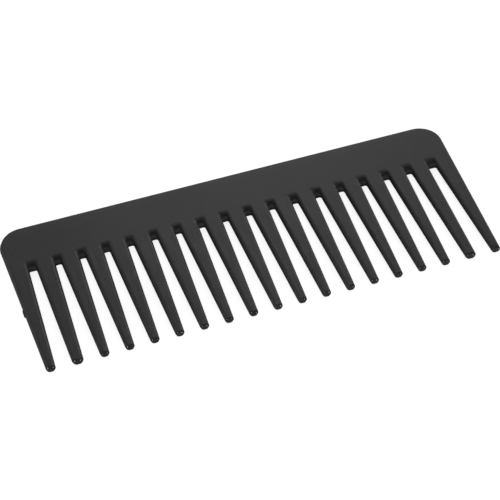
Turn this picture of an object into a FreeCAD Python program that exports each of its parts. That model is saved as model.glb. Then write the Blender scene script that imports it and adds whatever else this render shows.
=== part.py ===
import FreeCAD, Part
import math
import os
import Sketcher

# Wide tooth comb: one injection moulding, lying flat.
# Row frame: X along the comb, +Y towards the spine's back edge, +Z up,
# origin under the middle of the comb on the surface it lies on.
# The solid is kept as a spine and nineteen teeth, meeting face to face,
# so that every gap between teeth stays open.
# Each body is drawn about its own parting plane (local z = 0) with local
# y = 0 on the line where the gaps end.

V = FreeCAD.Vector
doc = FreeCAD.newDocument("wide_tooth_comb")

# ---------------------------------------------------------------- sizes (mm)
sheet = doc.addObject("Spreadsheet::Sheet", "Sizes")
cells = [
    ("pitch_x", 8.0),           # tooth to tooth
    ("spine_high", 19.7),      # gap ends to back edge
    ("tooth_long", 42.02),      # gap line to tip, middle tooth
    ("tip_bow", 0.42),          # the end teeth are longer by this
    ("half_thick", 1.6),        # parting plane to flat face
    ("rim_half", 1.44),         # the same at the back rim, below the crown
    ("crown_from", 14.0),       # where the flat face starts to fall to the rim
    ("taper_from", 10.0),       # where the tooth faces leave the spine's level
    ("tip_half", 1.15),          # parting plane to tooth face at the tips
    ("draft_deg", 22.0),         # draft of every wall, both ways
    ("edge_round", 0.8),        # rounding of all outer edges
    ("corner_round", 8.0),      # spine corners, in plan
    ("split_y", 0.6),           # spine reaches this far into the teeth
    ("side_root", 76.04),        # half length on the gap line
    ("side_slope", 0.0349),     # outer sides open towards the back edge
    ("reg_root", 3.11),         # regular tooth: half width on the gap line
    ("reg_tip", 1.441),         # and at the tip
    ("sec_out_root", 3.22),    # second tooth from each end
    ("sec_out_tip", 2.311),
    ("sec_in_root", 3.068),
    ("sec_in_tip", 1.27),
    ("end_out_root", 4.04),      # end teeth
    ("end_out_tip", 2.564),
    ("end_in_root", 2.384),
    ("end_in_tip", 0.456),
    ("tip_round", 1.2),        # tip corners, in plan
    ("tip_round_sec", 1.5),
    ("over_y", 2.0),            # extra length cut back square at the split
    ("gap_half", 0.9),         # gap end, half width on the parting plane
    ("gap_round", 0.5),         # gap end corners
    ("end_gap_half", 1.2),     # the gaps beside the end teeth are wider
    ("end_gap_x", 68.42),
    ("gap_end_y", 0.4),         # the land along the gap end stands here
    ("land_half", 0.45),        # half height of that land
    ("ramp_run", 1.6),         # shallow part of the ramp behind each gap
    ("ramp_rise", 0.66),
    ("scoop_run", 3.35),         # ramp meets the face
    ("nub_y", 16.9),            # gate vestige on the end tooth's outer side
    ("nub_long", 2.8),
    ("nub_out", 0.3),
    ("nub_thick", 1.3),
]
for i, (alias, value) in enumerate(cells):
    sheet.set("A%d" % (i + 1), alias)
    sheet.set("B%d" % (i + 1), repr(value))
    sheet.setAlias("B%d" % (i + 1), alias)
doc.recompute()
S = dict(cells)
P = "Sizes."

N_TEETH = 19


def plane(body, role):
    return [o for o in body.Origin.OriginFeatures if o.Role == role][0]


def sketch(body, name, role, lift=None):
    sk = body.newObject("Sketcher::SketchObject", name)
    sk.AttachmentSupport = (plane(body, role), [""])
    sk.MapMode = "FlatFace"
    if lift is not None:
        sk.setExpression(".AttachmentOffset.Base.z", lift)
        sk.AttachmentOffset = FreeCAD.Placement(V(0, 0, 0), FreeCAD.Rotation())
    return sk


def polygon(sk, pts):
    """Closed run of lines. Each point is (x, y, x expression, y expression);
    both signed distances from the sketch origin are constrained, and follow
    their expressions where these are given."""
    n = len(pts)
    base = sk.GeometryCount
    for i in range(n):
        a, b = pts[i], pts[(i + 1) % n]
        sk.addGeometry(Part.LineSegment(V(a[0], a[1], 0), V(b[0], b[1], 0)), False)
    for i in range(n):
        sk.addConstraint(Sketcher.Constraint("Coincident", base + i, 2, base + (i + 1) % n, 1))
    for i, (x, y, ex, ey) in enumerate(pts):
        for kind, val, expr in (("DistanceX", x, ex), ("DistanceY", y, ey)):
            if abs(val) < 1e-9:
                axis = -2 if kind == "DistanceX" else -1
                sk.addConstraint(Sketcher.Constraint("PointOnObject", base + i, 1, axis))
                continue
            if val > 0:
                c = Sketcher.Constraint(kind, -1, 1, base + i, 1, val)
            else:
                c = Sketcher.Constraint(kind, base + i, 1, -1, 1, -val)
            k = sk.addConstraint(c)
            if expr:
                sk.setExpression("Constraints[%d]" % k, expr)


def pad_drafted(body, sk):
    """Pad both ways from the parting plane, both halves drafted. It stands
    0.5 proud of the faces, which the side view then cuts."""
    pad = body.newObject("PartDesign::Pad", "Drafted")
    pad.Profile = (sk, [""])
    pad.SideType = "Two sides"
    pad.Length = S["half_thick"] + 0.5
    pad.Length2 = S["half_thick"] + 0.5
    pad.TaperAngle = -S["draft_deg"]
    pad.TaperAngle2 = -S["draft_deg"]
    pad.setExpression("Length", P + "half_thick + 0.5")
    pad.setExpression("Length2", P + "half_thick + 0.5")
    pad.setExpression("TaperAngle", "-" + P + "draft_deg")
    pad.setExpression("TaperAngle2", "-" + P + "draft_deg")
    sk.Visibility = False
    return pad


def cut_through(body, sk, name):
    cut = body.newObject("PartDesign::Pocket", name)
    cut.Profile = (sk, [""])
    cut.SideType = "Symmetric"
    cut.Type = "Length"
    cut.Length = 200.0
    sk.Visibility = False
    return cut


def round_edges(body, base, name, pick, radius, expr):
    names = []
    for i, e in enumerate(base.Shape.Edges):
        mid = e.valueAt((e.FirstParameter + e.LastParameter) / 2.0)
        if pick(e, mid):
            names.append("Edge%d" % (i + 1))
    f = body.newObject("PartDesign::Fillet", name)
    f.Base = (base, names)
    f.Radius = radius
    f.setExpression("Radius", expr)
    return f


def place(body, x, x_expr):
    """Parting plane at half thickness; the row's origin is midway between
    the back edge and the tips."""
    y = (S["tooth_long"] + S["tip_bow"] - S["spine_high"]) / 2.0
    body.Placement = FreeCAD.Placement(V(x, y, S["half_thick"]), FreeCAD.Rotation())
    if x_expr:
        body.setExpression(".Placement.Base.x", x_expr)
    body.setExpression(".Placement.Base.y", "(%stooth_long + %stip_bow - %sspine_high) / 2" % (P, P, P))
    body.setExpression(".Placement.Base.z", P + "half_thick")


bodies = []

# -------------------------------------------------------------------- spine
spine = doc.addObject("PartDesign::Body", "spine")
spine.Label = "spine"
bodies.append(spine)

H, OV, SR, SS = S["spine_high"], S["over_y"], S["side_root"], S["side_slope"]
plan = sketch(spine, "Plan", "XY_Plane")
CR = S["corner_round"]
k1 = (1.0 + SS * SS) ** 0.5
cx, cy = SR + SS * (H - CR) - CR * k1, H - CR      # right corner's centre
tx, ty = cx + CR / k1, cy - CR * SS / k1           # where it meets the side
fx, fy = SR - SS * 2 * OV, -2 * OV
lean = math.atan(SS)
half_pi = math.pi / 2
plan.addGeometry([
    Part.LineSegment(V(-fx, fy, 0), V(fx, fy, 0)),
    Part.LineSegment(V(fx, fy, 0), V(tx, ty, 0)),
    Part.ArcOfCircle(Part.Circle(V(cx, cy, 0), V(0, 0, 1), CR), -lean, half_pi),
    Part.LineSegment(V(cx, H, 0), V(-cx, H, 0)),
    Part.ArcOfCircle(Part.Circle(V(-cx, cy, 0), V(0, 0, 1), CR), half_pi, math.pi + lean),
    Part.LineSegment(V(-tx, ty, 0), V(-fx, fy, 0)),
], False)
plan.addGeometry([Part.Point(V(SR, 0, 0)), Part.Point(V(-SR, 0, 0))], True)
C = Sketcher.Constraint
plan.addConstraint([
    C("Coincident", 0, 2, 1, 1), C("Tangent", 1, 2, 2, 1), C("Tangent", 2, 2, 3, 1),
    C("Tangent", 3, 2, 4, 1), C("Tangent", 4, 2, 5, 1), C("Coincident", 5, 2, 0, 1),
    C("Horizontal", 0), C("Horizontal", 3), C("Equal", 2, 4),
    C("PointOnObject", 6, 1, -1), C("PointOnObject", 7, 1, -1),
    C("PointOnObject", 6, 1, 1), C("PointOnObject", 7, 1, 5),
])
for con, ex in (
        (C("DistanceX", -1, 1, 6, 1, SR), P + "side_root"),
        (C("DistanceX", 7, 1, -1, 1, SR), P + "side_root"),
        (C("DistanceX", -1, 1, 0, 2, fx), "%sside_root - %sside_slope * 2 * %sover_y" % (P, P, P)),
        (C("DistanceX", 0, 1, -1, 1, fx), "%sside_root - %sside_slope * 2 * %sover_y" % (P, P, P)),
        (C("DistanceY", 0, 2, -1, 1, -fy), "2 * %sover_y" % P),
        (C("DistanceY", -1, 1, 3, 1, H), P + "spine_high"),
        (C("Radius", 2, CR), P + "corner_round")):
    k = plan.addConstraint(con)
    plan.setExpression("Constraints[%d]" % k, ex)
pad = pad_drafted(spine, plan)
doc.recompute()

# what lies outside the side view is cut away: a square front face at the
# split, and a crown that falls slightly from the flat face to the back rim
side = sketch(spine, "SideView", "YZ_Plane")
HT, RH, CF, SP = S["half_thick"], S["rim_half"], S["crown_from"], S["split_y"]
polygon(side, [(-60.0, -9.0, None, None), (60.0, -9.0, None, None),
               (60.0, 9.0, None, None), (-60.0, 9.0, None, None)])
# flat, then a large arc tangent to it, on both faces
RC = (H - CF) ** 2 / (2.0 * (HT - RH))
far = H + 3.0
z_far = HT - (RC - (RC ** 2 - (far - CF) ** 2) ** 0.5)
sweep = math.asin((far - CF) / RC)
g0 = side.GeometryCount
side.addGeometry([
    Part.LineSegment(V(-SP, -HT, 0), V(CF, -HT, 0)),
    Part.ArcOfCircle(Part.Circle(V(CF, -HT + RC, 0), V(0, 0, 1), RC), -half_pi, -half_pi + sweep),
    Part.LineSegment(V(far, -z_far, 0), V(far, z_far, 0)),
    Part.ArcOfCircle(Part.Circle(V(CF, HT - RC, 0), V(0, 0, 1), RC), half_pi - sweep, half_pi),
    Part.LineSegment(V(CF, HT, 0), V(-SP, HT, 0)),
    Part.LineSegment(V(-SP, HT, 0), V(-SP, -HT, 0)),
], False)
side.addConstraint([
    C("Tangent", g0, 2, g0 + 1, 1), C("Coincident", g0 + 1, 2, g0 + 2, 1),
    C("Coincident", g0 + 2, 2, g0 + 3, 1), C("Tangent", g0 + 3, 2, g0 + 4, 1),
    C("Coincident", g0 + 4, 2, g0 + 5, 1), C("Coincident", g0 + 5, 2, g0, 1),
    C("Horizontal", g0), C("Horizontal", g0 + 4), C("Vertical", g0 + 2),
    C("Vertical", g0 + 5), C("Equal", g0 + 1, g0 + 3),
])
for con, ex in (
        (C("DistanceX", g0, 1, -1, 1, SP), P + "split_y"),
        (C("DistanceY", g0, 1, -1, 1, HT), P + "half_thick"),
        (C("DistanceY", -1, 1, g0 + 4, 2, HT), P + "half_thick"),
        (C("DistanceX", -1, 1, g0, 2, CF), P + "crown_from"),
        (C("DistanceX", -1, 1, g0 + 2, 1, far), P + "spine_high + 3"),
        (C("Radius", g0 + 1, RC),
         "(%sspine_high - %scrown_from) ^ 2 / (2 * (%shalf_thick - %srim_half))" % (P, P, P, P))):
    k = side.addConstraint(con)
    side.setExpression("Constraints[%d]" % k, ex)
trim = cut_through(spine, side, "SideTrim")
doc.recompute()

def is_rim(e, m):
    if e.BoundBox.ZLength > 0.5 or abs(m.z) < 0.5 or abs(m.z) < 1.2:
        return False
    if m.y < -SP + 0.01 and e.BoundBox.YLength < 0.01:
        return False
    inner_x = SR + SS * m.y - 1.2
    # edges of the flat and crown faces run out to the walls; the seams
    # between chords run along x across the whole spine and stay
    if e.BoundBox.XLength > 100 and m.y < H - 0.8:
        return False
    return m.y > H - 8.5 or abs(m.x) > inner_x


rim = round_edges(spine, trim, "Rim", is_rim, S["edge_round"], P + "edge_round")
doc.recompute()


def notch(body, name, x, x_expr, half, half_expr):
    """U-shaped end of one gap, with rounded corners, cut right through."""
    sk = sketch(body, name + "Plan", "XY_Plane")
    r, f, e = S["gap_round"], 3.0, S["gap_end_y"]
    g = [
        Part.LineSegment(V(x - half, -f, 0), V(x - half, e - r, 0)),
        Part.ArcOfCircle(Part.Circle(V(x - half + r, e - r, 0), V(0, 0, 1), r), half_pi, math.pi),
        Part.LineSegment(V(x - half + r, e, 0), V(x + half - r, e, 0)),
        Part.ArcOfCircle(Part.Circle(V(x + half - r, e - r, 0), V(0, 0, 1), r), 0.0, half_pi),
        Part.LineSegment(V(x + half, e - r, 0), V(x + half, -f, 0)),
        Part.LineSegment(V(x + half, -f, 0), V(x - half, -f, 0)),
    ]
    sk.addGeometry(g, False)
    sk.addConstraint([
        C("Tangent", 0, 2, 1, 2), C("Tangent", 1, 1, 2, 1),
        C("Tangent", 2, 2, 3, 2), C("Tangent", 3, 1, 4, 1),
        C("Coincident", 4, 2, 5, 1), C("Coincident", 5, 2, 0, 1),
        C("Vertical", 0), C("Vertical", 4), C("Horizontal", 5),
        C("Horizontal", 2), C("Equal", 1, 3),
    ])
    k = sk.addConstraint(C("DistanceY", -1, 1, 2, 1, e))
    sk.setExpression("Constraints[%d]" % k, P + "gap_end_y")
    k = sk.addConstraint(C("Radius", 1, r))
    sk.setExpression("Constraints[%d]" % k, P + "gap_round")
    k = sk.addConstraint(C("DistanceX", 5, 2, 5, 1, 2 * half))
    sk.setExpression("Constraints[%d]" % k, "2 * " + half_expr)
    sk.addConstraint(C("DistanceY", 4, 2, -1, 1, f))
    k = sk.addConstraint(C("DistanceX", 5, 1, -1, 1, -(x + half)) if x + half < 0
                         else C("DistanceX", -1, 1, 5, 1, x + half))
    sk.setExpression("Constraints[%d]" % k,
                     ("%s - %s" if x + half < 0 else "%s + %s") % (x_expr, half_expr))
    cut = body.newObject("PartDesign::Pocket", name)
    cut.Profile = (sk, [""])
    cut.SideType = "Symmetric"
    cut.Type = "Length"
    cut.Length = 8.0
    sk.Visibility = False
    return cut


# ramp behind each gap: (height over the parting plane, extra half width, run
# past the gap line). The side walls carry on the teeth's draft; the upper
# steps open out into the rounded edge of the face.
TD = math.tan(math.radians(S["draft_deg"]))
RAMP = [(S["land_half"], TD * S["land_half"], S["gap_end_y"] + 0.02),
        (S["ramp_rise"], TD * S["ramp_rise"], S["ramp_run"]),
        (0.90, TD * 0.90, 2.16),
        (1.16, 0.47, 2.46),
        (1.395, 0.63, 2.74),
        (1.55, 0.88, 3.04),
        (1.60, 1.16, S["scoop_run"]),
        (1.72, 1.80, 4.05)]


def scoop(body, name, x, half, half_expr, sign):
    secs = []
    for i, (z, extra, back) in enumerate(RAMP):
        sk = sketch(body, "%s_%d" % (name, i), "XY_Plane", "%g" % (sign * z))
        sk.AttachmentOffset = FreeCAD.Placement(V(0, 0, sign * z), FreeCAD.Rotation())
        h = half + extra
        front = 1.6
        polygon(sk, [(x - h, -front, None, None), (x + h, -front, None, None),
                     (x + h, back, None, None), (x - h, back, None, None)])
        sk.Visibility = False
        secs.append(sk)
    loft = body.newObject("PartDesign::SubtractiveLoft", name)
    loft.Profile = (secs[0], [""])
    loft.Sections = [(s, [""]) for s in secs[1:]]
    loft.Ruled = True
    return loft


x_first = -7.5 * S["pitch_x"]
n1 = notch(spine, "Gap", x_first, "7.5 * %spitch_x" % P, S["gap_half"], P + "gap_half")
doc.recompute()
s1 = scoop(spine, "ScoopTop", x_first, S["gap_half"], P + "gap_half", 1)
s2 = scoop(spine, "ScoopUnder", x_first, S["gap_half"], P + "gap_half", -1)
doc.recompute()
row = spine.newObject("PartDesign::LinearPattern", "GapRow")
row.Originals = [n1, s1, s2]
row.Direction = (n1.Profile[0], ["H_Axis"])
row.Length = 15 * S["pitch_x"]
row.setExpression("Length", "15 * %spitch_x" % P)
row.Occurrences = 16
spine.Tip = row
doc.recompute()
e1 = notch(spine, "EndGap", -S["end_gap_x"], P + "end_gap_x", S["end_gap_half"], P + "end_gap_half")
e2 = scoop(spine, "EndScoopTop", -S["end_gap_x"], S["end_gap_half"], P + "end_gap_half", 1)
e3 = scoop(spine, "EndScoopUnder", -S["end_gap_x"], S["end_gap_half"], P + "end_gap_half", -1)
doc.recompute()
ends = spine.newObject("PartDesign::Mirrored", "EndGaps")
ends.Originals = [e1, e2, e3]
ends.MirrorPlane = (plane(spine, "YZ_Plane"), [""])
spine.Tip = ends
place(spine, 0.0, None)
doc.recompute()

# -------------------------------------------------------------------- teeth
TH, TF = S["tip_half"], S["taper_from"]
MID = (N_TEETH + 1) // 2


def tooth(k):
    """Tooth k, 1 to 19 from the -X end."""
    name = "tooth_%02d" % k
    body = doc.addObject("PartDesign::Body", name)
    body.Label = name
    if k in (1, N_TEETH):
        out, inn = "end_out", "end_in"
    elif k in (2, N_TEETH - 1):
        out, inn = "sec_out", "sec_in"
    else:
        out, inn = "reg", "reg"
    left, right = (out, inn) if k <= N_TEETH // 2 else (inn, out)
    # the tips lie along a very shallow arc
    bow = ((k - MID) / float(MID - 1)) ** 2
    TL = S["tooth_long"] + S["tip_bow"] * bow
    LE = "(%stooth_long + %stip_bow * %.6f)" % (P, P, bow)

    def at_top(a):
        return (S[a + "_root"] + (S[a + "_root"] - S[a + "_tip"]) * OV / TL,
                "%s%s_root + (%s%s_root - %s%s_tip) * %sover_y / %s" % (P, a, P, a, P, a, P, LE))

    lt, lte = at_top(left)
    rt, rte = at_top(right)
    sk = sketch(body, "Plan", "XY_Plane")
    key = "tip_round_sec" if k in (2, N_TEETH - 1) else "tip_round"
    tr = S[key]

    def corner(top, tip):
        m = (top - tip) / (OV + TL)
        w = (1 + m * m) ** 0.5
        xc = tip + m * tr - tr * w
        return xc, (xc + tr / w, -TL + tr - tr * m / w), math.atan(m)

    xr, qr, ar = corner(rt, S[right + "_tip"])
    xl, ql, al = corner(lt, S[left + "_tip"])
    yc = -TL + tr
    sk.addGeometry([
        Part.LineSegment(V(-lt, OV, 0), V(rt, OV, 0)),
        Part.LineSegment(V(rt, OV, 0), V(qr[0], qr[1], 0)),
        Part.ArcOfCircle(Part.Circle(V(xr, yc, 0), V(0, 0, 1), tr), -half_pi, -ar),
        Part.LineSegment(V(xr, -TL, 0), V(-xl, -TL, 0)),
        Part.ArcOfCircle(Part.Circle(V(-xl, yc, 0), V(0, 0, 1), tr), math.pi + al, 1.5 * math.pi),
        Part.LineSegment(V(-ql[0], ql[1], 0), V(-lt, OV, 0)),
    ], False)
    sk.addGeometry([Part.Point(V(S[right + "_tip"], -TL, 0)),
                    Part.Point(V(-S[left + "_tip"], -TL, 0))], True)
    sk.addConstraint([
        C("Coincident", 0, 2, 1, 1), C("Tangent", 1, 2, 2, 2), C("Tangent", 2, 1, 3, 1),
        C("Tangent", 3, 2, 4, 2), C("Tangent", 4, 1, 5, 1), C("Coincident", 5, 2, 0, 1),
        C("PointOnObject", 6, 1, 1), C("PointOnObject", 7, 1, 5),
        C("PointOnObject", 6, 1, 3), C("Horizontal", 3), C("Equal", 2, 4),
    ])
    for con, ex in (
            (C("DistanceX", 0, 1, -1, 1, lt), lte),
            (C("DistanceX", -1, 1, 0, 2, rt), rte),
            (C("DistanceY", -1, 1, 0, 1, OV), P + "over_y"),
            (C("DistanceY", -1, 1, 0, 2, OV), P + "over_y"),
            (C("DistanceX", -1, 1, 6, 1, S[right + "_tip"]), P + right + "_tip"),
            (C("DistanceX", 7, 1, -1, 1, S[left + "_tip"]), P + left + "_tip"),
            (C("DistanceY", 6, 1, -1, 1, TL), LE),
            (C("DistanceY", 7, 1, -1, 1, TL), LE),
            (C("Radius", 2, tr), P + key)):
        q = sk.addConstraint(con)
        sk.setExpression("Constraints[%d]" % q, ex)
    pad = pad_drafted(body, sk)
    sv = sketch(body, "SideView", "YZ_Plane")
    polygon(sv, [(-60.0, -9.0, None, None), (9.0, -9.0, None, None),
                 (9.0, 9.0, None, None), (-60.0, 9.0, None, None)])
    # faces run level with the spine's, then curve in to the thinner tip
    rt_ = (TL - TF) ** 2 / (2.0 * (HT - TH))
    end = TL + 4.0
    z_end = HT - (rt_ - (rt_ ** 2 - (end - TF) ** 2) ** 0.5)
    turn = math.asin((end - TF) / rt_)
    g = sv.GeometryCount
    sv.addGeometry([
        Part.LineSegment(V(-SP, -HT, 0), V(-SP, HT, 0)),
        Part.LineSegment(V(-SP, HT, 0), V(-TF, HT, 0)),
        Part.ArcOfCircle(Part.Circle(V(-TF, HT - rt_, 0), V(0, 0, 1), rt_), half_pi, half_pi + turn),
        Part.LineSegment(V(-end, z_end, 0), V(-end, -z_end, 0)),
        Part.ArcOfCircle(Part.Circle(V(-TF, rt_ - HT, 0), V(0, 0, 1), rt_), -half_pi - turn, -half_pi),
        Part.LineSegment(V(-TF, -HT, 0), V(-SP, -HT, 0)),
    ], False)
    sv.addConstraint([
        C("Coincident", g, 2, g + 1, 1), C("Tangent", g + 1, 2, g + 2, 1),
        C("Coincident", g + 2, 2, g + 3, 1), C("Coincident", g + 3, 2, g + 4, 1),
        C("Tangent", g + 4, 2, g + 5, 1), C("Coincident", g + 5, 2, g, 1),
        C("Vertical", g), C("Horizontal", g + 1), C("Vertical", g + 3),
        C("Horizontal", g + 5), C("Equal", g + 2, g + 4),
    ])
    for con, ex in (
            (C("DistanceX", g, 1, -1, 1, SP), P + "split_y"),
            (C("DistanceY", g, 1, -1, 1, HT), P + "half_thick"),
            (C("DistanceY", -1, 1, g, 2, HT), P + "half_thick"),
            (C("DistanceX", g + 1, 2, -1, 1, TF), P + "taper_from"),
            (C("DistanceX", g + 3, 1, -1, 1, end), LE + " + 4"),
            (C("Radius", g + 2, rt_),
             "(%s - %staper_from) ^ 2 / (2 * (%shalf_thick - %stip_half))" % (LE, P, P, P))):
        q = sv.addConstraint(con)
        sv.setExpression("Constraints[%d]" % q, ex)
    trim = cut_through(body, sv, "SideTrim")
    doc.recompute()
    def outer(e, m):
        if abs(m.z) < 0.5 or e.BoundBox.ZLength > 0.9:
            return False
        return not (m.y > -SP - 0.01 and e.BoundBox.YLength < 0.01)

    edge = round_edges(body, trim, "Edges", outer, S["edge_round"], P + "edge_round")
    doc.recompute()
    if k == 1:
        # gate vestige: a low nub left on the outer side
        nb = sketch(body, "Nub", "XY_Plane")
        y0 = -S["nub_y"]
        xs = -(S["end_out_root"] + (S["end_out_tip"] - S["end_out_root"]) * S["nub_y"] / TL)
        hl = S["nub_long"] / 2
        polygon(nb, [
            (xs - S["nub_out"], y0 + hl - 0.3, None, None),
            (xs + 0.6, y0 + hl, None, None),
            (xs + 0.6, y0 - hl, None, None),
            (xs - S["nub_out"], y0 - hl + 0.3, None, None),
        ])
        np_ = body.newObject("PartDesign::Pad", "Gate")
        np_.Profile = (nb, [""])
        np_.SideType = "Symmetric"
        np_.Length = S["nub_thick"]
        np_.setExpression("Length", P + "nub_thick")
        nb.Visibility = False
        doc.recompute()
    xk = k - MID
    place(body, xk * S["pitch_x"], "%d * %spitch_x" % (xk, P))
    bodies.append(body)
    return body


for k in range(1, N_TEETH + 1):
    tooth(k)
doc.recompute()

# -------------------------------------------------------------------- checks
bad = []
for o in doc.Objects:
    if any(w in o.State for w in ("Invalid", "Error")):
        bad.append("%s %s" % (o.Name, o.State))
for b in bodies:
    if b.Shape.isNull() or not b.Shape.isValid() or len(b.Shape.Solids) != 1:
        bad.append("%s shape" % b.Label)
if bad:
    raise RuntimeError("; ".join(bad))

os.makedirs("parts", exist_ok=True)
for b in bodies:
    b.Shape.exportStep("parts/%s.step" % b.Label)
    bb = b.Shape.BoundBox
    print("%-9s x %8.3f %8.3f  y %8.3f %8.3f  z %6.3f %6.3f  vol %9.2f" % (
        b.Label, bb.XMin, bb.XMax, bb.YMin, bb.YMax, bb.ZMin, bb.ZMax, b.Shape.Volume))
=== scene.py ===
import math

import bpy
import numpy as np
from mathutils import Matrix, Vector
from mathutils.geometry import delaunay_2d_cdt


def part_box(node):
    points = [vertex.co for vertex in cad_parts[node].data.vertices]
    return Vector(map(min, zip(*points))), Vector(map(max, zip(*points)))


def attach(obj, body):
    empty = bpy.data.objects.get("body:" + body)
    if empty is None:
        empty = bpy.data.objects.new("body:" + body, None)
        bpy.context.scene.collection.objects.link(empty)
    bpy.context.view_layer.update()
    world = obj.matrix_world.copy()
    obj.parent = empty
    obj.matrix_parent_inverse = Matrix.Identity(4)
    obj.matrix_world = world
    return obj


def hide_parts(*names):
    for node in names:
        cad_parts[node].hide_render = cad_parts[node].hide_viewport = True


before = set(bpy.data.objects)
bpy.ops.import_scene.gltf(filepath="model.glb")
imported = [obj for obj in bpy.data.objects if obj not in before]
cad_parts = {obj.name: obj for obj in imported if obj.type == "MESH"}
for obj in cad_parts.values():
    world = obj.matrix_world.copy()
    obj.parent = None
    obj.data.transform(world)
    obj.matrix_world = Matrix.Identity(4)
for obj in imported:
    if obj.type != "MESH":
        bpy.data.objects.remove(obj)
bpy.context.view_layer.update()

# --------------------------------------------------------------- comb shape
# Drawn in mm about the comb's own parting plane (z = 0), with y = 0 on the
# line where the gaps end, then placed from the frame's own boxes.
PITCH = 8.0
HT = 1.6                     # parting plane to flat face
RIM = 1.44                   # the same at the back rim
CROWN = 14.0                 # the face starts to fall to the rim here
TAPER = 10.0                 # tooth faces leave the spine's level here
TIP_H = 1.15                 # parting plane to face at the tips
HIGH = 19.7                  # gap line to back edge
LONG, BOW = 42.02, 0.42      # gap line to tips; the end teeth are longer
SPLIT = 0.6
DRAFT = math.radians(22.0)
TD, SA, CA = math.tan(DRAFT), math.sin(DRAFT), math.cos(DRAFT)
ROUND = 0.8
SIDE, SLOPE = 76.04, 0.0349
CORNER = 8.0
N = 19
MID = 10

lo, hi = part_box("spine")
Z0 = (lo.z + hi.z) / 2 * 1000
Y0 = lo.y * 1000 + SPLIT


def long_of(k):
    return LONG + BOW * ((k - MID) / (MID - 1.0)) ** 2


def face(y, k=MID):
    """Height of the face over the parting plane and its slope along +y."""
    if y > CROWN:
        r = (HIGH - CROWN) ** 2 / (2 * (HT - RIM))
        d = y - CROWN
        return HT - (r - math.sqrt(r * r - d * d)), -d / math.sqrt(r * r - d * d)
    if y < -TAPER:
        r = (long_of(k) - TAPER) ** 2 / (2 * (HT - TIP_H))
        d = -y - TAPER
        return HT - (r - math.sqrt(r * r - d * d)), d / math.sqrt(r * r - d * d)
    return HT, 0.0


WALL = [0.0, 0.15, 0.355, 0.41, 0.445, 0.473, 0.51, 0.555, 0.618, 0.70, 0.78, 0.86, 0.935, 1.0]
TURN = [60.0, 52.0, 44.0, 36.0, 28.0, 20.0, 12.0, 5.5, 0.0]
FLAT = [0.12, 0.30]
NL = len(WALL) + len(TURN) + len(FLAT)
# how much of each ring sits on the rounded edge, for wear
WEAR = [0.0] * (len(WALL) - 2) + [0.25, 0.6] + [0.9, 1.0, 1.0, 0.9, 0.7, 0.5, 0.3, 0.12, 0.0] + [0.0] * len(FLAT)


def profile(zf, s, flat=1.0):
    """(run in from the outline, height) of every ring, for a face of height
    zf at the outline side that rises with slope s inward."""
    a = math.atan(s)
    zc = (zf - ROUND / math.cos(a) + s * ROUND / CA) / (1 - s * TD)
    dc = (ROUND + zc * SA) / CA
    zw, out = zc + ROUND * SA, []
    for f in WALL:
        out.append((f * zw * TD, f * zw))
    for t in TURN:
        t = math.radians(t) + a * (1 - t / 68.0)
        out.append((dc - ROUND * math.sin(t), zc + ROUND * math.cos(t)))
    d, z = out[-1]
    for f in FLAT:
        out.append((d + f * flat, z + s * f * flat))
    return out


def profile_at(y, ny, k=MID, flat=1.0):
    """Profile where the outline's inward direction has y part ny: the face
    height is that under the end of the rounding, carried back to the edge."""
    d = 1.15
    zf, s = face(y + ny * d, k)
    s *= ny
    return profile(zf - s * d, s, flat)


# -------------------------------------------------------------- mesh builder
verts, index = [], {}
faces = []                   # (ids, piece, half)
# per vertex: edge wear (on the back rim also a painted highlight), tip gloss, how much belongs to the teeth
wear_and_rim_sheen, gloss, blade = {}, {}, {}


def vid(p, w=0.0, g=0.0, b=0.0):
    key = (round(p[0], 5), round(p[1], 5), round(p[2], 5))
    i = index.get(key)
    if i is None:
        i = index[key] = len(verts)
        verts.append(key)
    wear_and_rim_sheen[i] = max(w, wear_and_rim_sheen.get(i, 0.0))
    gloss[i] = max(g, gloss.get(i, 0.0))
    blade[i] = max(b, blade.get(i, 0.0))
    return i


def tags(y):
    """Tip gloss and how much a point belongs to the teeth."""
    return (min(1.0, max(0.0, (-y - 40.55) / 0.7)), min(1.0, max(0.0, (3.0 - y) / 5.0)))


def column(pts, levels=WEAR):
    """One station of the outline: its rings' vertices, top half."""
    out = []
    for j, p in enumerate(pts):
        g, b = tags(p[1])
        out.append(vid(p, levels[j], g, b))
    return out


def add(ids, piece):
    ids = [v for n, v in enumerate(ids) if v != ids[n - 1]]
    if len(ids) > 2:
        faces.append((ids, piece, 1))


def skin(cols, piece):
    """Quads between neighbouring stations, which run counter-clockwise."""
    for a, b in zip(cols, cols[1:]):
        for j in range(NL - 1):
            add([a[j], b[j], b[j + 1], a[j + 1]], piece)


# --------------------------------------------------------------------- teeth
SIDES = {"reg": (3.11, 1.441), "sec_out": (3.22, 2.311), "sec_in": (3.068, 1.27),
         "end_out": (4.04, 2.564), "end_in": (2.384, 0.456)}


def sides(k):
    if k in (1, N):
        o, i = "end_out", "end_in"
    elif k in (2, N - 1):
        o, i = "sec_out", "sec_in"
    else:
        o, i = "reg", "reg"
    return (SIDES[o], SIDES[i]) if k <= N // 2 else (SIDES[i], SIDES[o])


def half_width(pair, y, tl):
    return pair[0] + (pair[0] - pair[1]) * y / tl


NUB_Y, NUB_L, NUB_OUT, NUB_H = 16.9, 1.4, 0.3, 0.65


def side_point(k, sign, y, d, z):
    """A point on tooth k's side wall; sign -1 is its left side."""
    tl = long_of(k)
    pair = sides(k)[0 if sign < 0 else 1]
    m = (pair[0] - pair[1]) / tl
    x = (k - MID) * PITCH + sign * (half_width(pair, y, tl) - d * math.sqrt(1 + m * m))
    if k == 1 and sign < 0:
        # gate vestige: a low broken-off stub across the parting line
        e = abs(-y - NUB_Y)
        w = min(1.0, max(0.0, (NUB_L - e) / 0.3))
        h = min(1.0, max(0.0, (NUB_H - z) / 0.12))
        if w > 0 and z < NUB_H:
            x -= w * h * (NUB_OUT * (0.93 + 0.07 * math.cos(3.1 * (y + NUB_Y) + 0.6)) + d)
    return (x, y, z)


ROWS = 20
ARC = 9
COLS = 5


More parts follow.
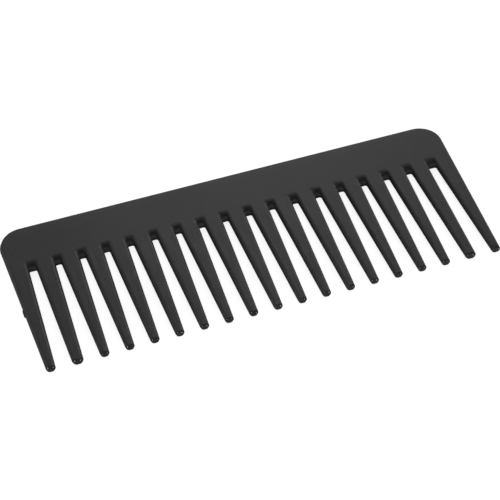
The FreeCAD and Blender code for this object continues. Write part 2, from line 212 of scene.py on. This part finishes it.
def tooth_rows(k):
    tl = long_of(k)
    tr = 1.5 if k in (2, N - 1) else 1.2
    end = -tl + tr + 0.25
    ys = [-SPLIT + (end + SPLIT) * i / ROWS for i in range(ROWS + 1)]
    if k == 1:
        ys = [y for y in ys if abs(-y - NUB_Y) > 1.75]
        ys += [-NUB_Y + e for e in (-1.6, -1.41, -1.25, -1.1, -0.8, -0.4, 0, 0.4, 0.8, 1.1, 1.25, 1.41, 1.6)]
        ys.sort(reverse=True)
    return ys


def tooth_sides(k):
    """Stations down the left side, round the tip and up the right side."""
    tl = long_of(k)
    tr = 1.5 if k in (2, N - 1) else 1.2
    xk = (k - MID) * PITCH
    ys = tooth_rows(k)
    out = {}
    for sign in (-1, 1):
        pair = sides(k)[0 if sign < 0 else 1]
        m = (pair[0] - pair[1]) / (2.0 + tl) * (2.0 + tl) / tl
        w = math.sqrt(1 + m * m)
        xc = pair[1] + m * tr - tr * w
        cols = []
        for y in ys:
            # the flat rings draw in where the face narrows to the tip
            flat = 0.3 + 0.7 * min(1.0, max(0.0, (y + tl - tr) / 6.0))
            cols.append(column([side_point(k, sign, y, d, z) for d, z in profile_at(y, 0.0, k, flat)]))
        a0 = math.atan(m)
        for i in range(ARC + 1):
            a = a0 + (math.pi / 2 - a0) * i / ARC
            pts = []
            prof = profile_at(-tl + tr - tr * math.sin(a), math.sin(a), k, 0.3)
            for d, z in prof:
                r = max(tr - d, 0.02)
                pts.append((xk + sign * (xc + r * math.cos(a)), -tl + tr - r * math.sin(a), z))
            cols.append(column(pts))
        out[sign] = cols
    return out[-1], out[1]


tooth_cols = {}
for k in range(1, N + 1):
    name = "tooth_%02d" % k
    left, right = tooth_sides(k)
    tooth_cols[k] = (left, right)
    skin(left + right[::-1], name)
    # the face between the two sides
    rows = []
    for n, (a, b) in enumerate(zip(left, right)):
        pa, pb = verts[a[-1]], verts[b[-1]]
        row = [a[-1]]
        for c in range(1, COLS if n < len(left) - 1 else 1):
            f = c / COLS
            x, y = pa[0] + (pb[0] - pa[0]) * f, pa[1] + (pb[1] - pa[1]) * f
            z = face(y, k)[0]
            e = pa[2] + (pb[2] - pa[2]) * f
            g, bl = tags(y)
            row.append(vid((x, y, min(z, e) if y < -long_of(k) + 2 else z), 0.0, g, bl))
        row.append(b[-1])
        rows.append(row)
    for r, q in zip(rows[:-1], rows[1:-1]):
        for c in range(COLS):
            add([r[c], q[c], q[c + 1], r[c + 1]], name)
    add([rows[-2][0], rows[-1][0], rows[-1][1]] + rows[-2][:0:-1], name)
    tooth_cols[k] += (rows[0],)

# ---------------------------------------------------------------- gap ends
RAMP = [(0.0, 0.42), (0.39, 0.426), (0.45, 0.45), (0.49, 0.50), (0.52, 0.62), (0.56, 0.85), (0.61, 1.20), (0.68, 1.55),
        (0.78, 1.85), (0.90, 2.10), (1.03, 2.32), (1.18, 2.55), (1.32, 2.80), (1.43, 3.05), (1.51, 3.32), (1.565, 3.60),
        (1.59, 3.84), (1.6, 4.05)]
WALLN, CORN, ENDN = 7, 6, 5


def back_at(z):
    for (za, ya), (zb, yb) in zip(RAMP, RAMP[1:]):
        if z <= zb:
            return ya + (yb - ya) * (z - za) / (zb - za)
    return RAMP[-1][1]


def gap_cols(g):
    """Stations up the left wall of gap g, round its end and down the right."""
    half, xg = (1.2, -68.42 if g == 1 else 68.42) if g in (1, N - 1) else (0.9, (g - 9.5) * PITCH)
    prof = profile(HT, 0.0)
    rings = []
    for j, (d, z) in enumerate(prof):
        back = back_at(min(z, HT)) + (0.0 if j < NL - len(FLAT) else FLAT[j - NL + len(FLAT)] * 1.2)
        rc = 0.5 + 0.5 * min(1.0, z / HT)
        pts = []
        # left wall: from the tooth's row at the split to the corner
        def wall(sign, k, y):
            if y < 0:
                a = side_point(k, -sign, -SPLIT, d, z)[0]
                b = xg + sign * (half + d)
                f = 1 + y / SPLIT
                return a + (b - a) * f
            return xg + sign * (half + d)
        top = back - rc
        left, right = [], []
        for i in range(WALLN + 1):
            y = -SPLIT + (top + SPLIT) * i / WALLN
            left.append((wall(-1, g, y), y, z))
            right.append((wall(1, g + 1, y), y, z))
        cl, cr = [], []
        for i in range(1, CORN + 1):
            a = math.pi / 2 * i / CORN
            hx = half + d - rc + rc * math.cos(a)
            y = top + rc * math.sin(a)
            cl.append((xg - hx, y, z))
            cr.append((xg + hx, y, z))
        mid = []
        for i in range(1, ENDN):
            f = i / ENDN
            mid.append((cl[-1][0] + (cr[-1][0] - cl[-1][0]) * f, back, z))
        pts = left + cl + mid + cr[::-1] + right[::-1]
        rings.append(pts)
    return [column([rings[j][i] for j in range(NL)]) for i in range(len(rings[0]))]


gaps = {}
for g in range(1, N):
    gaps[g] = gap_cols(g)
    # travel along the solid's outline here is left wall up, then right wall down
    skin(gaps[g], "spine")

# -------------------------------------------------------- outer spine edge
k1 = math.sqrt(1 + SLOPE * SLOPE)
cx, cy = SIDE + SLOPE * (HIGH - CORNER) - CORNER * k1, HIGH - CORNER
ty = cy - CORNER * SLOPE / k1
lean = math.atan(SLOPE)
RIM_WEAR_AND_PAINTED_SHEEN = WEAR[:-4] + [0.6, 0.7, 0.8, 0.8]      # edge wear, carried further in on the back rim as a painted highlight that lightens the rim's face
outer = []
outer.append(tooth_cols[N][1][0])              # the end tooth's own edge
for i in range(1, 13):
    y = -SPLIT + (ty - 0.4 + SPLIT) * i / 12
    outer.append(column([(SIDE + SLOPE * y - d * k1, y, z) for d, z in profile_at(y, 0.0)]))
for i in range(27):
    a = -lean + (math.pi / 2 + lean) * i / 26
    pts = []
    for d, z in profile_at(cy + CORNER * math.sin(a), -math.sin(a)):
        pts.append((cx + (CORNER - d) * math.cos(a), cy + (CORNER - d) * math.sin(a), z))
    outer.append(column(pts, RIM_WEAR_AND_PAINTED_SHEEN if i > 8 else WEAR))
BACK = 56
for i in range(1, BACK // 2 + 1):
    x = cx * (1 - 2.0 * i / BACK)
    outer.append(column([(x, HIGH - d, z) for d, z in profile_at(HIGH, -1.0)], RIM_WEAR_AND_PAINTED_SHEEN))


def mirrored(col):
    out = []
    for j, v in enumerate(col):
        x, y, z = verts[v]
        g, b = tags(y)
        out.append(vid((-x, y, z), wear_and_rim_sheen[v], g, b))
    return out


outer += [mirrored(c) for c in outer[-2::-1]]
skin(outer, "spine")

# ---------------------------------------------------------- spine's face
loop = [c[-1] for c in outer]
for k in range(1, N + 1):
    loop += tooth_cols[k][2][1:] if loop[-1] == tooth_cols[k][2][0] else tooth_cols[k][2]
    if k < N:
        loop += [c[-1] for c in gaps[k][1:]]
        if loop[-1] != tooth_cols[k + 1][2][0]:
            raise RuntimeError("gap %d does not meet its tooth" % k)
if loop[-1] == loop[0]:
    loop = loop[:-1]
rim_xy = np.array([[verts[v][0], verts[v][1]] for v in loop])
inner = []
step = 2.3
ny = int(20 / (step * 0.866)) + 1
for r in range(ny):
    y = 0.55 + r * step * 0.866
    for c in range(-36, 37):
        x = (c + 0.5 * (r % 2)) * step
        inner.append((x, y))
inner = np.array(inner)


def inside(p, poly):
    """Even-odd rule for many points at once."""
    x, y = p[:, 0][:, None], p[:, 1][:, None]
    a, b = poly, np.roll(poly, -1, axis=0)
    cross = ((a[:, 1] > y) != (b[:, 1] > y)) & (
        x < (b[:, 0] - a[:, 0]) * (y - a[:, 1]) / (b[:, 1] - a[:, 1] + 1e-12) + a[:, 0])
    return cross.sum(1) % 2 == 1


near = np.sqrt(((inner[:, None, :] - rim_xy[None, :, :]) ** 2).sum(2)).min(1)
inner = inner[(near > 1.0) & inside(inner, rim_xy)]
co = [Vector((float(p[0]), float(p[1]))) for p in rim_xy] + [Vector((float(p[0]), float(p[1]))) for p in inner]
cdt = delaunay_2d_cdt(co, [], [list(range(len(loop)))], 1, 1e-6)
out_v, out_f, orig = cdt[0], cdt[2], cdt[3]
ids = []
for p, o in zip(out_v, orig):
    src = [q for q in o if q < len(loop)]
    if src:
        ids.append(loop[src[0]])
    else:
        g, b = tags(p.y)
        ids.append(vid((p.x, p.y, face(p.y)[0]), 0.0, g, b))
for f in out_f:
    t = [ids[q] for q in f]
    a, b, c = (verts[q] for q in t[:3])
    up = (b[0] - a[0]) * (c[1] - a[1]) - (b[1] - a[1]) * (c[0] - a[0])
    add(t if up > 0 else t[::-1], "spine")

# ------------------------------------------- normals, underside, cut faces
P = np.array(verts)
normal = np.zeros_like(P)
for ids_, _, _ in faces:
    q = P[ids_]
    n = np.zeros(3)
    for i in range(1, len(ids_) - 1):
        n += np.cross(q[i] - q[0], q[i + 1] - q[0])
    for v in ids_:
        normal[v] += n
normal /= np.maximum(np.linalg.norm(normal, axis=1)[:, None], 1e-12)

n_top = len(verts)
under = {}
for v in range(n_top):
    x, y, z = verts[v]
    under[v] = v if z == 0 else len(verts)
    if z != 0:
        verts.append((x, y, -z))
        wear_and_rim_sheen[under[v]], gloss[under[v]], blade[under[v]] = wear_and_rim_sheen[v], gloss[v], blade[v]
down = normal * np.array([1, 1, -1.0])

loops_by_piece = {}
for ids_, piece, _ in faces:
    top = loops_by_piece.setdefault(piece, [])
    top.append((ids_, [normal[v] for v in ids_]))
    top.append(([under[v] for v in ids_[::-1]], [down[v] for v in ids_[::-1]]))

for k in range(1, N + 1):
    left, right, row = tooth_cols[k]
    sec = left[0] + row[1:-1] + right[0][::-1]
    for a, b in zip(sec, sec[1:]):
        quad = [a, b, under[b], under[a]]
        quad = [v for n, v in enumerate(quad) if v != quad[n - 1]]
        if len(quad) > 2:
            # seen from +y (the spine's side) this runs against the clock
            loops_by_piece["tooth_%02d" % k].append((quad, [np.array([0, 1.0, 0])] * len(quad)))
            loops_by_piece["spine"].append((quad[::-1], [np.array([0, -1.0, 0])] * len(quad)))


# ------------------------------------------------------------------ material
def plastic():
    m = bpy.data.materials.new("comb_plastic_satin")
    m.use_nodes = True
    nt = m.node_tree
    nt.nodes.clear()
    L = nt.links.new

    def node(kind, **kw):
        n = nt.nodes.new(kind)
        for a, v in kw.items():
            if a in n.inputs.keys():
                n.inputs[a].default_value = v
            else:
                setattr(n, a, v)
        return n

    def math_(op, a, b=None, clamp=False):
        n = nt.nodes.new("ShaderNodeMath")
        n.operation = op
        n.use_clamp = clamp
        for i, v in enumerate((a, b)):
            if v is None:
                continue
            if isinstance(v, (int, float)):
                n.inputs[i].default_value = v
            else:
                L(v, n.inputs[i])
        return n.outputs[0]

    def ramp(src, a, b, lo_=0.0, hi_=1.0):
        n = nt.nodes.new("ShaderNodeMapRange")
        n.clamp = True
        n.inputs["From Min"].default_value = a
        n.inputs["From Max"].default_value = b
        n.inputs["To Min"].default_value = lo_
        n.inputs["To Max"].default_value = hi_
        L(src, n.inputs["Value"])
        return n.outputs["Result"]

    def noise(vec, scale, detail=3.0, rough=0.55, distort=0.0):
        n = nt.nodes.new("ShaderNodeTexNoise")
        n.inputs["Scale"].default_value = scale
        n.inputs["Detail"].default_value = detail
        n.inputs["Roughness"].default_value = rough
        n.inputs["Distortion"].default_value = distort
        L(vec, n.inputs["Vector"])
        return n.outputs["Fac"]

    def stretched(vec, scale, turn=0.0):
        n = nt.nodes.new("ShaderNodeMapping")
        n.inputs["Scale"].default_value = scale
        n.inputs["Rotation"].default_value = (0.0, 0.0, math.radians(turn))
        L(vec, n.inputs["Vector"])
        return n.outputs["Vector"]

    def attr(name):
        n = nt.nodes.new("ShaderNodeAttribute")
        n.attribute_name = name
        return n.outputs["Fac"]

    pos = nt.nodes.new("ShaderNodeTexCoord").outputs["Object"]
    a_wear_and_rim_sheen, a_gloss, a_blade = attr("wear_and_rim_sheen"), attr("gloss"), attr("blade")

    grain = noise(pos, 3400.0, 2.0, 0.6)                       # moulded micro-texture, 0.3 mm
    lay = noise(stretched(pos, (3300.0, 210.0, 2600.0)), 1.0, 3.0, 0.6)   # lines along the teeth
    lay2 = noise(stretched(pos, (1100.0, 60.0, 900.0)), 1.0, 2.0, 0.5)
    mottle = noise(pos, 95.0, 3.0, 0.55, 0.3)                  # flow of the melt, 10 mm
    broad = noise(pos, 24.0, 2.0, 0.5)
    haze = noise(pos, 420.0, 4.0, 0.6)
    scr1 = ramp(noise(stretched(pos, (90.0, 4200.0, 90.0), 17.0), 1.0, 1.0, 0.4), 0.72, 0.78)
    scr2 = ramp(noise(stretched(pos, (70.0, 3600.0, 70.0), -38.0), 1.0, 1.0, 0.4), 0.735, 0.79)
    scr3 = ramp(noise(stretched(pos, (3800.0, 80.0, 90.0), 8.0), 1.0, 1.0, 0.4), 0.72, 0.78)
    scratch = math_("MULTIPLY", math_("MAXIMUM", math_("MAXIMUM", scr1, scr2), scr3), ramp(mottle, 0.42, 0.62), True)
    speck = math_("MULTIPLY", ramp(noise(pos, 1500.0, 0.0, 0.5), 0.735, 0.79), ramp(broad, 0.35, 0.6))
    # edge wear mask; on the back rim it also paints a highlight onto the face
    rub_and_rim_sheen = math_("MULTIPLY", a_wear_and_rim_sheen, ramp(noise(pos, 260.0, 4.0, 0.65), 0.30, 0.72), True)

    # colour: near-black with a slight unevenness, greyer where rubbed, and lighter on the back rim's face as a painted
    # highlight
    tone = math_("ADD", ramp(mottle, 0.25, 0.75, -0.0040, 0.0040), ramp(broad, 0.3, 0.7, -0.0022, 0.0022))
    tone = math_("ADD", tone, ramp(grain, 0.3, 0.7, -0.0030, 0.0030))
    tone = math_("ADD", tone, math_("MULTIPLY", ramp(lay, 0.3, 0.7, -0.0090, 0.0090), a_blade))
    tone = math_("ADD", tone, math_("MULTIPLY", rub_and_rim_sheen, 0.0110))
    tone = math_("ADD", tone, math_("MULTIPLY", scratch, 0.0110))
    tone = math_("ADD", tone, math_("MULTIPLY", speck, 0.028))
    tone = math_("SUBTRACT", tone, math_("MULTIPLY", a_gloss, 0.0090))
    tone = math_("ADD", tone, 0.0360)
    tint = nt.nodes.new("ShaderNodeCombineColor")
    L(math_("MULTIPLY", tone, 1.0), tint.inputs["Red"])
    L(math_("MULTIPLY", tone, 1.0), tint.inputs["Green"])
    L(math_("MULTIPLY", tone, 1.03), tint.inputs["Blue"])

    # roughness: satin faces, smoother tips and rubbed edges
    rgh = math_("ADD", ramp(mottle, 0.25, 0.75, -0.030, 0.030), ramp(haze, 0.3, 0.7, -0.022, 0.022))
    rgh = math_("ADD", rgh, math_("MULTIPLY", ramp(lay2, 0.3, 0.7, -0.060, 0.060), a_blade))
    rgh = math_("ADD", rgh, 0.43)
    rgh = math_("SUBTRACT", rgh, math_("MULTIPLY", rub_and_rim_sheen, 0.08))
    rgh = math_("SUBTRACT", rgh, math_("MULTIPLY", scratch, 0.07))
    rgh = math_("SUBTRACT", rgh, math_("MULTIPLY", a_gloss, 0.29), True)

    # relief, in metres
    height = math_("MULTIPLY", ramp(grain, 0.2, 0.8, -1.0, 1.0), 0.0000030)
    teeth = math_("ADD", math_("MULTIPLY", ramp(lay, 0.2, 0.8, -1.0, 1.0), 0.0000075),
                  math_("MULTIPLY", ramp(lay2, 0.2, 0.8, -1.0, 1.0), 0.0000095))
    height = math_("ADD", height, math_("MULTIPLY", teeth, a_blade))
    height = math_("ADD", height, math_("MULTIPLY", ramp(haze, 0.2, 0.8, -1.0, 1.0), 0.0000040))
    height = math_("MULTIPLY", height, math_("SUBTRACT", 1.0, math_("MULTIPLY", a_gloss, 0.85)))
    height = math_("SUBTRACT", height, math_("MULTIPLY", scratch, 0.0000060))
    bump = nt.nodes.new("ShaderNodeBump")
    bump.inputs["Strength"].default_value = 1.0
    bump.inputs["Distance"].default_value = 1.0
    L(height, bump.inputs["Height"])

    bsdf = nt.nodes.new("ShaderNodeBsdfPrincipled")
    bsdf.inputs["IOR"].default_value = 1.5
    bsdf.inputs["Specular IOR Level"].default_value = 0.5
    L(tint.outputs["Color"], bsdf.inputs["Base Color"])
    L(rgh, bsdf.inputs["Roughness"])
    L(bump.outputs["Normal"], bsdf.inputs["Normal"])
    out = nt.nodes.new("ShaderNodeOutputMaterial")
    L(bsdf.outputs["BSDF"], out.inputs["Surface"])
    return m


skin_mat = plastic()

# ------------------------------------------------------------------- pieces
VV = np.array(verts)
shift = np.array([0.0, Y0, Z0])
for piece in ["spine"] + ["tooth_%02d" % k for k in range(1, N + 1)]:
    polys = loops_by_piece[piece]
    used = sorted({v for ids_, _ in polys for v in ids_})
    where = {v: i for i, v in enumerate(used)}
    me = bpy.data.meshes.new("comb_" + piece)
    me.from_pydata([tuple((VV[v] + shift) / 1000.0) for v in used], [],
                   [[where[v] for v in ids_] for ids_, _ in polys])
    me.materials.append(skin_mat)
    for name, src in (("wear_and_rim_sheen", wear_and_rim_sheen), ("gloss", gloss), ("blade", blade)):
        at = me.attributes.new(name, "FLOAT", "POINT")
        at.data.foreach_set("value", [float(src[v]) for v in used])
    me.polygons.foreach_set("use_smooth", [True] * len(me.polygons))
    me.normals_split_custom_set([tuple(n) for _, ns in polys for n in ns])
    me.update()
    ob = bpy.data.objects.new("comb_" + piece, me)
    bpy.context.scene.collection.objects.link(ob)
    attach(ob, "root")
    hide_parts(piece)

# ------------------------------------------------------- floor, light, camera
scene = bpy.context.scene
scene.view_settings.view_transform = "Standard"
scene.view_settings.look = "None"
scene.view_settings.exposure = 0.0
scene.view_settings.gamma = 1.0

fm = bpy.data.materials.new("floor_white")
fm.use_nodes = True
nt = fm.node_tree
nt.nodes.clear()
d = nt.nodes.new("ShaderNodeBsdfDiffuse")
d.inputs["Color"].default_value = (0.86, 0.86, 0.86, 1)
e = nt.nodes.new("ShaderNodeEmission")
e.inputs["Color"].default_value = (1, 1, 1, 1)
glow = nt.nodes.new("ShaderNodeMapRange")      # whiter to the eye than to the comb
glow.inputs["To Min"].default_value = 0.57
glow.inputs["To Max"].default_value = 0.86
nt.links.new(nt.nodes.new("ShaderNodeLightPath").outputs["Is Camera Ray"], glow.inputs["Value"])
nt.links.new(glow.outputs["Result"], e.inputs["Strength"])
s = nt.nodes.new("ShaderNodeAddShader")
o = nt.nodes.new("ShaderNodeOutputMaterial")
nt.links.new(d.outputs[0], s.inputs[0])
nt.links.new(e.outputs[0], s.inputs[1])
nt.links.new(s.outputs[0], o.inputs["Surface"])
fmesh = bpy.data.meshes.new("floor")
fmesh.from_pydata([(-4, -4, -0.00002), (4, -4, -0.00002), (4, 4, -0.00002), (-4, 4, -0.00002)], [], [(0, 1, 2, 3)])
fmesh.materials.append(fm)
floor = bpy.data.objects.new("floor", fmesh)
scene.collection.objects.link(floor)
floor.visible_glossy = False

world = bpy.data.worlds.new("studio")
scene.world = world
world.use_nodes = True
nt = world.node_tree
nt.nodes.clear()
bg = nt.nodes.new("ShaderNodeBackground")
bg.inputs["Color"].default_value = (1, 1, 1, 1)
bg.inputs["Strength"].default_value = 0.111
bgc = nt.nodes.new("ShaderNodeBackground")
bgc.inputs["Color"].default_value = (1, 1, 1, 1)
bgc.inputs["Strength"].default_value = 1.0
lp = nt.nodes.new("ShaderNodeLightPath")
mix = nt.nodes.new("ShaderNodeMixShader")
wo = nt.nodes.new("ShaderNodeOutputWorld")
nt.links.new(lp.outputs["Is Camera Ray"], mix.inputs[0])
nt.links.new(bg.outputs[0], mix.inputs[1])
nt.links.new(bgc.outputs[0], mix.inputs[2])
nt.links.new(mix.outputs[0], wo.inputs["Surface"])


def softbox(name, direction, dist, w, h, power, target=(0, 0.005, 0.0016)):
    la = bpy.data.lights.new(name, "AREA")
    la.shape = "RECTANGLE"
    la.size, la.size_y = w, h
    la.energy = power
    ob = bpy.data.objects.new(name, la)
    dv = Vector(direction).normalized()
    ob.location = Vector(target) + dv * dist
    ob.rotation_mode = "QUATERNION"
    ob.rotation_quaternion = (-dv).to_track_quat("-Z", "Y")
    scene.collection.objects.link(ob)
    ob.visible_camera = False
    return ob


softbox("key", (0.22, 0.67, 0.72), 0.6, 0.22, 0.18, 0.195)
softbox("back_low", (0.20, 0.95, 0.25), 1.0, 0.90, 0.25, 1.72)
softbox("back_left", (-0.60, 0.65, 0.45), 1.0, 0.50, 0.50, 0.24)
softbox("back_right", (0.80, 0.56, 0.33), 1.0, 0.50, 0.40, 0.95)
softbox("top_back", (0.10, 0.42, 0.90), 1.0, 0.60, 0.40, 0.262)
softbox("left_low", (-0.95, -0.05, 0.30), 0.9, 0.25, 0.25, 0.243)
softbox("front_left", (-0.89, -0.41, 0.09), 0.7, 0.16, 0.08, 1.9)
softbox("front_right", (0.58, -0.79, 0.09), 0.7, 0.16, 0.08, 1.9)

cam = bpy.data.cameras.new("camera")
cam.sensor_fit = "HORIZONTAL"
cam.sensor_width = 36.0
cam.lens = 135.0
cam.clip_start, cam.clip_end = 0.01, 50
cam.dof.use_dof = False
co_ = bpy.data.objects.new("camera", cam)
right = Vector((0.94866, -0.31443, -0.03439))
downv = Vector((-0.24859, -0.67393, -0.69572))
fwd = Vector((0.19558, 0.66855, -0.71749))
co_.matrix_world = Matrix((
    (right.x, -downv.x, -fwd.x, -0.11803),
    (right.y, -downv.y, -fwd.y, -0.40490),
    (right.z, -downv.z, -fwd.z, 0.43243),
    (0, 0, 0, 1)))
scene.collection.objects.link(co_)
scene.camera = co_
